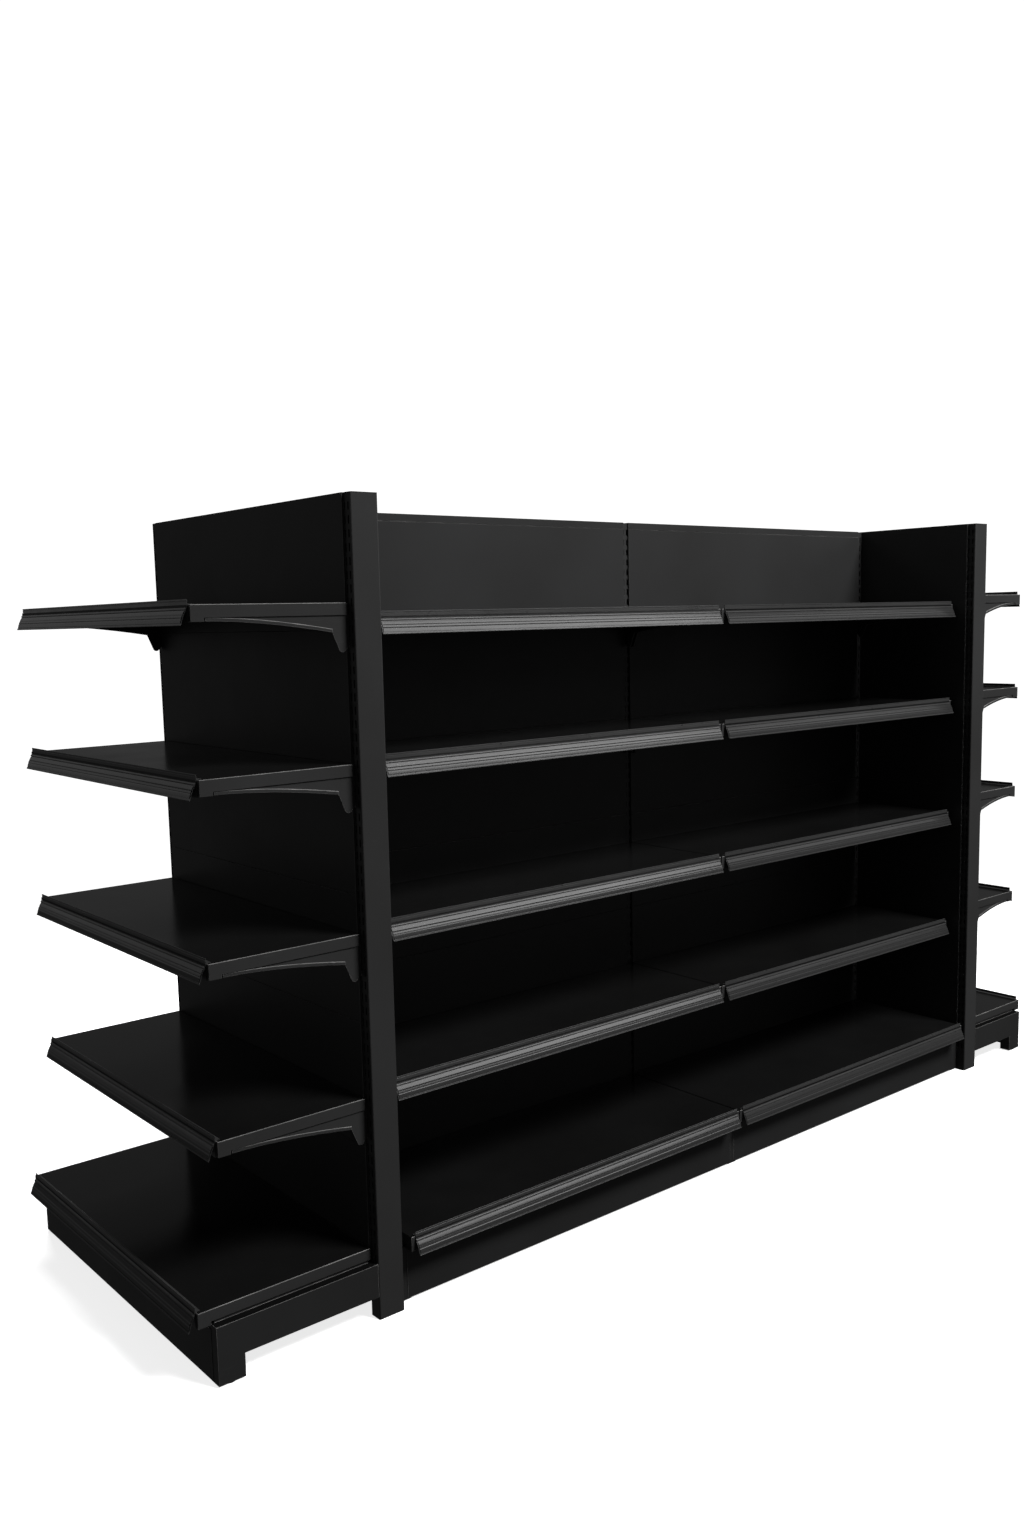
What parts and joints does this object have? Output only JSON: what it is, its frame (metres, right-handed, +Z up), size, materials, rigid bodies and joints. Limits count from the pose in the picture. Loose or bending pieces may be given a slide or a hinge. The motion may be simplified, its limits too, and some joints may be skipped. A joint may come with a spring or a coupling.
{
  "type": "gondola shelving island",
  "caption": "Double-sided free-standing store shelving island: a slotted-upright run with back panels, lift-off shelves with price strips, kick plates, and a shelved unit across each end.",
  "frame": {"origin": "on the floor under the run's centre upright", "axes": "+X along the run, -Y towards the front shelves, +Z up"},
  "size_m": [2.842, 0.864, 1.6],
  "materials": {
    "frame_coat": "fine-textured satin black powder coat",
    "panel_coat": "fine-textured satin black powder coat",
    "shelf_coat": "fine-textured satin black powder coat; its price strip is black extruded plastic under a clear cover",
    "kick_coat": "fine-textured satin black powder coat",
    "black_plastic": "moulded black plastic",
    "zinc_steel": "bright zinc plate"
  },
  "bodies": {
    "frame": {"upright_run_left": "frame_coat", "upright_run_centre": "frame_coat", "upright_run_right": "frame_coat", "upright_left_front": "frame_coat", "upright_left_rear": "frame_coat", "upright_right_front": "frame_coat", "upright_right_rear": "frame_coat", "upright_caps": "black_plastic", "tie_bars": "frame_coat", "joining_bolts": "zinc_steel", "top_rails": "panel_coat", "back_panels_front": "panel_coat", "back_panels_rear": "panel_coat", "back_panels_left_outer": "panel_coat", "back_panels_left_inner": "panel_coat", "back_panels_right_outer": "panel_coat", "back_panels_right_inner": "panel_coat", "base_feet_run": "frame_coat", "base_feet_ends": "frame_coat", "brackets_front": "frame_coat", "brackets_rear": "frame_coat", "brackets_left_end": "frame_coat", "brackets_right_end": "frame_coat"},
    "levelling_glides": {"levelling_glides": "black_plastic"},
    "kick_plate_front_left": {"kick_plate_front_left": "kick_coat"},
    "kick_plate_front_right": {"kick_plate_front_right": "kick_coat"},
    "kick_plate_rear_left": {"kick_plate_rear_left": "kick_coat"},
    "kick_plate_rear_right": {"kick_plate_rear_right": "kick_coat"},
    "kick_plate_left_end": {"kick_plate_left_end": "kick_coat"},
    "kick_plate_right_end": {"kick_plate_right_end": "kick_coat"},
    "base_shelf_front_left": {"base_shelf_front_left": "shelf_coat"},
    "shelf_front_left_1": {"shelf_front_left_1": "shelf_coat"},
    "shelf_front_left_2": {"shelf_front_left_2": "shelf_coat"},
    "shelf_front_left_3": {"shelf_front_left_3": "shelf_coat"},
    "shelf_front_left_4": {"shelf_front_left_4": "shelf_coat"},
    "base_shelf_front_right": {"base_shelf_front_right": "shelf_coat"},
    "shelf_front_right_1": {"shelf_front_right_1": "shelf_coat"},
    "shelf_front_right_2": {"shelf_front_right_2": "shelf_coat"},
    "shelf_front_right_3": {"shelf_front_right_3": "shelf_coat"},
    "shelf_front_right_4": {"shelf_front_right_4": "shelf_coat"},
    "base_shelf_rear_left": {"base_shelf_rear_left": "shelf_coat"},
    "shelf_rear_left_1": {"shelf_rear_left_1": "shelf_coat"},
    "shelf_rear_left_2": {"shelf_rear_left_2": "shelf_coat"},
    "shelf_rear_left_3": {"shelf_rear_left_3": "shelf_coat"},
    "shelf_rear_left_4": {"shelf_rear_left_4": "shelf_coat"},
    "base_shelf_rear_right": {"base_shelf_rear_right": "shelf_coat"},
    "shelf_rear_right_1": {"shelf_rear_right_1": "shelf_coat"},
    "shelf_rear_right_2": {"shelf_rear_right_2": "shelf_coat"},
    "shelf_rear_right_3": {"shelf_rear_right_3": "shelf_coat"},
    "shelf_rear_right_4": {"shelf_rear_right_4": "shelf_coat"},
    "base_shelf_left_end": {"base_shelf_left_end": "shelf_coat"},
    "shelf_left_end_1": {"shelf_left_end_1": "shelf_coat"},
    "shelf_left_end_2": {"shelf_left_end_2": "shelf_coat"},
    "shelf_left_end_3": {"shelf_left_end_3": "shelf_coat"},
    "shelf_left_end_4": {"shelf_left_end_4": "shelf_coat"},
    "base_shelf_right_end": {"base_shelf_right_end": "shelf_coat"},
    "shelf_right_end_1": {"shelf_right_end_1": "shelf_coat"},
    "shelf_right_end_2": {"shelf_right_end_2": "shelf_coat"},
    "shelf_right_end_3": {"shelf_right_end_3": "shelf_coat"},
    "shelf_right_end_4": {"shelf_right_end_4": "shelf_coat"}
  },
  "joints": [
    {"name": "glides_screw_out", "type": "slide", "parent": "frame", "child": "levelling_glides", "axis": [0, 0, -1], "range_m": [0, 0.01]},
    {"name": "kick_plate_front_left_pull", "type": "slide", "parent": "frame", "child": "kick_plate_front_left", "axis": [0, -1, 0], "range_m": [0, 0.06]},
    {"name": "kick_plate_front_right_pull", "type": "slide", "parent": "frame", "child": "kick_plate_front_right", "axis": [0, -1, 0], "range_m": [0, 0.06]},
    {"name": "kick_plate_rear_left_pull", "type": "slide", "parent": "frame", "child": "kick_plate_rear_left", "axis": [0, 1, 0], "range_m": [0, 0.06]},
    {"name": "kick_plate_rear_right_pull", "type": "slide", "parent": "frame", "child": "kick_plate_rear_right", "axis": [0, 1, 0], "range_m": [0, 0.06]},
    {"name": "kick_plate_left_end_pull", "type": "slide", "parent": "frame", "child": "kick_plate_left_end", "axis": [-1, 0, 0], "range_m": [0, 0.06]},
    {"name": "kick_plate_right_end_pull", "type": "slide", "parent": "frame", "child": "kick_plate_right_end", "axis": [1, 0, 0], "range_m": [0, 0.06]},
    {"name": "base_shelf_front_left_lift", "type": "slide", "parent": "frame", "child": "base_shelf_front_left", "axis": [0, 0, 1], "range_m": [0, 0.06]},
    {"name": "shelf_front_left_1_lift", "type": "slide", "parent": "frame", "child": "shelf_front_left_1", "axis": [0, 0, 1], "range_m": [0, 0.06]},
    {"name": "shelf_front_left_2_lift", "type": "slide", "parent": "frame", "child": "shelf_front_left_2", "axis": [0, 0, 1], "range_m": [0, 0.06]},
    {"name": "shelf_front_left_3_lift", "type": "slide", "parent": "frame", "child": "shelf_front_left_3", "axis": [0, 0, 1], "range_m": [0, 0.06]},
    {"name": "shelf_front_left_4_lift", "type": "slide", "parent": "frame", "child": "shelf_front_left_4", "axis": [0, 0, 1], "range_m": [0, 0.06]},
    {"name": "base_shelf_front_right_lift", "type": "slide", "parent": "frame", "child": "base_shelf_front_right", "axis": [0, 0, 1], "range_m": [0, 0.06]},
    {"name": "shelf_front_right_1_lift", "type": "slide", "parent": "frame", "child": "shelf_front_right_1", "axis": [0, 0, 1], "range_m": [0, 0.06]},
    {"name": "shelf_front_right_2_lift", "type": "slide", "parent": "frame", "child": "shelf_front_right_2", "axis": [0, 0, 1], "range_m": [0, 0.06]},
    {"name": "shelf_front_right_3_lift", "type": "slide", "parent": "frame", "child": "shelf_front_right_3", "axis": [0, 0, 1], "range_m": [0, 0.06]},
    {"name": "shelf_front_right_4_lift", "type": "slide", "parent": "frame", "child": "shelf_front_right_4", "axis": [0, 0, 1], "range_m": [0, 0.06]},
    {"name": "base_shelf_rear_left_lift", "type": "slide", "parent": "frame", "child": "base_shelf_rear_left", "axis": [0, 0, 1], "range_m": [0, 0.06]},
    {"name": "shelf_rear_left_1_lift", "type": "slide", "parent": "frame", "child": "shelf_rear_left_1", "axis": [0, 0, 1], "range_m": [0, 0.06]},
    {"name": "shelf_rear_left_2_lift", "type": "slide", "parent": "frame", "child": "shelf_rear_left_2", "axis": [0, 0, 1], "range_m": [0, 0.06]},
    {"name": "shelf_rear_left_3_lift", "type": "slide", "parent": "frame", "child": "shelf_rear_left_3", "axis": [0, 0, 1], "range_m": [0, 0.06]},
    {"name": "shelf_rear_left_4_lift", "type": "slide", "parent": "frame", "child": "shelf_rear_left_4", "axis": [0, 0, 1], "range_m": [0, 0.06]},
    {"name": "base_shelf_rear_right_lift", "type": "slide", "parent": "frame", "child": "base_shelf_rear_right", "axis": [0, 0, 1], "range_m": [0, 0.06]},
    {"name": "shelf_rear_right_1_lift", "type": "slide", "parent": "frame", "child": "shelf_rear_right_1", "axis": [0, 0, 1], "range_m": [0, 0.06]},
    {"name": "shelf_rear_right_2_lift", "type": "slide", "parent": "frame", "child": "shelf_rear_right_2", "axis": [0, 0, 1], "range_m": [0, 0.06]},
    {"name": "shelf_rear_right_3_lift", "type": "slide", "parent": "frame", "child": "shelf_rear_right_3", "axis": [0, 0, 1], "range_m": [0, 0.06]},
    {"name": "shelf_rear_right_4_lift", "type": "slide", "parent": "frame", "child": "shelf_rear_right_4", "axis": [0, 0, 1], "range_m": [0, 0.06]},
    {"name": "base_shelf_left_end_lift", "type": "slide", "parent": "frame", "child": "base_shelf_left_end", "axis": [0, 0, 1], "range_m": [0, 0.06]},
    {"name": "shelf_left_end_1_lift", "type": "slide", "parent": "frame", "child": "shelf_left_end_1", "axis": [0, 0, 1], "range_m": [0, 0.06]},
    {"name": "shelf_left_end_2_lift", "type": "slide", "parent": "frame", "child": "shelf_left_end_2", "axis": [0, 0, 1], "range_m": [0, 0.06]},
    {"name": "shelf_left_end_3_lift", "type": "slide", "parent": "frame", "child": "shelf_left_end_3", "axis": [0, 0, 1], "range_m": [0, 0.06]},
    {"name": "shelf_left_end_4_lift", "type": "slide", "parent": "frame", "child": "shelf_left_end_4", "axis": [0, 0, 1], "range_m": [0, 0.06]},
    {"name": "base_shelf_right_end_lift", "type": "slide", "parent": "frame", "child": "base_shelf_right_end", "axis": [0, 0, 1], "range_m": [0, 0.06]},
    {"name": "shelf_right_end_1_lift", "type": "slide", "parent": "frame", "child": "shelf_right_end_1", "axis": [0, 0, 1], "range_m": [0, 0.06]},
    {"name": "shelf_right_end_2_lift", "type": "slide", "parent": "frame", "child": "shelf_right_end_2", "axis": [0, 0, 1], "range_m": [0, 0.06]},
    {"name": "shelf_right_end_3_lift", "type": "slide", "parent": "frame", "child": "shelf_right_end_3", "axis": [0, 0, 1], "range_m": [0, 0.06]},
    {"name": "shelf_right_end_4_lift", "type": "slide", "parent": "frame", "child": "shelf_right_end_4", "axis": [0, 0, 1], "range_m": [0, 0.06]}
  ]
}
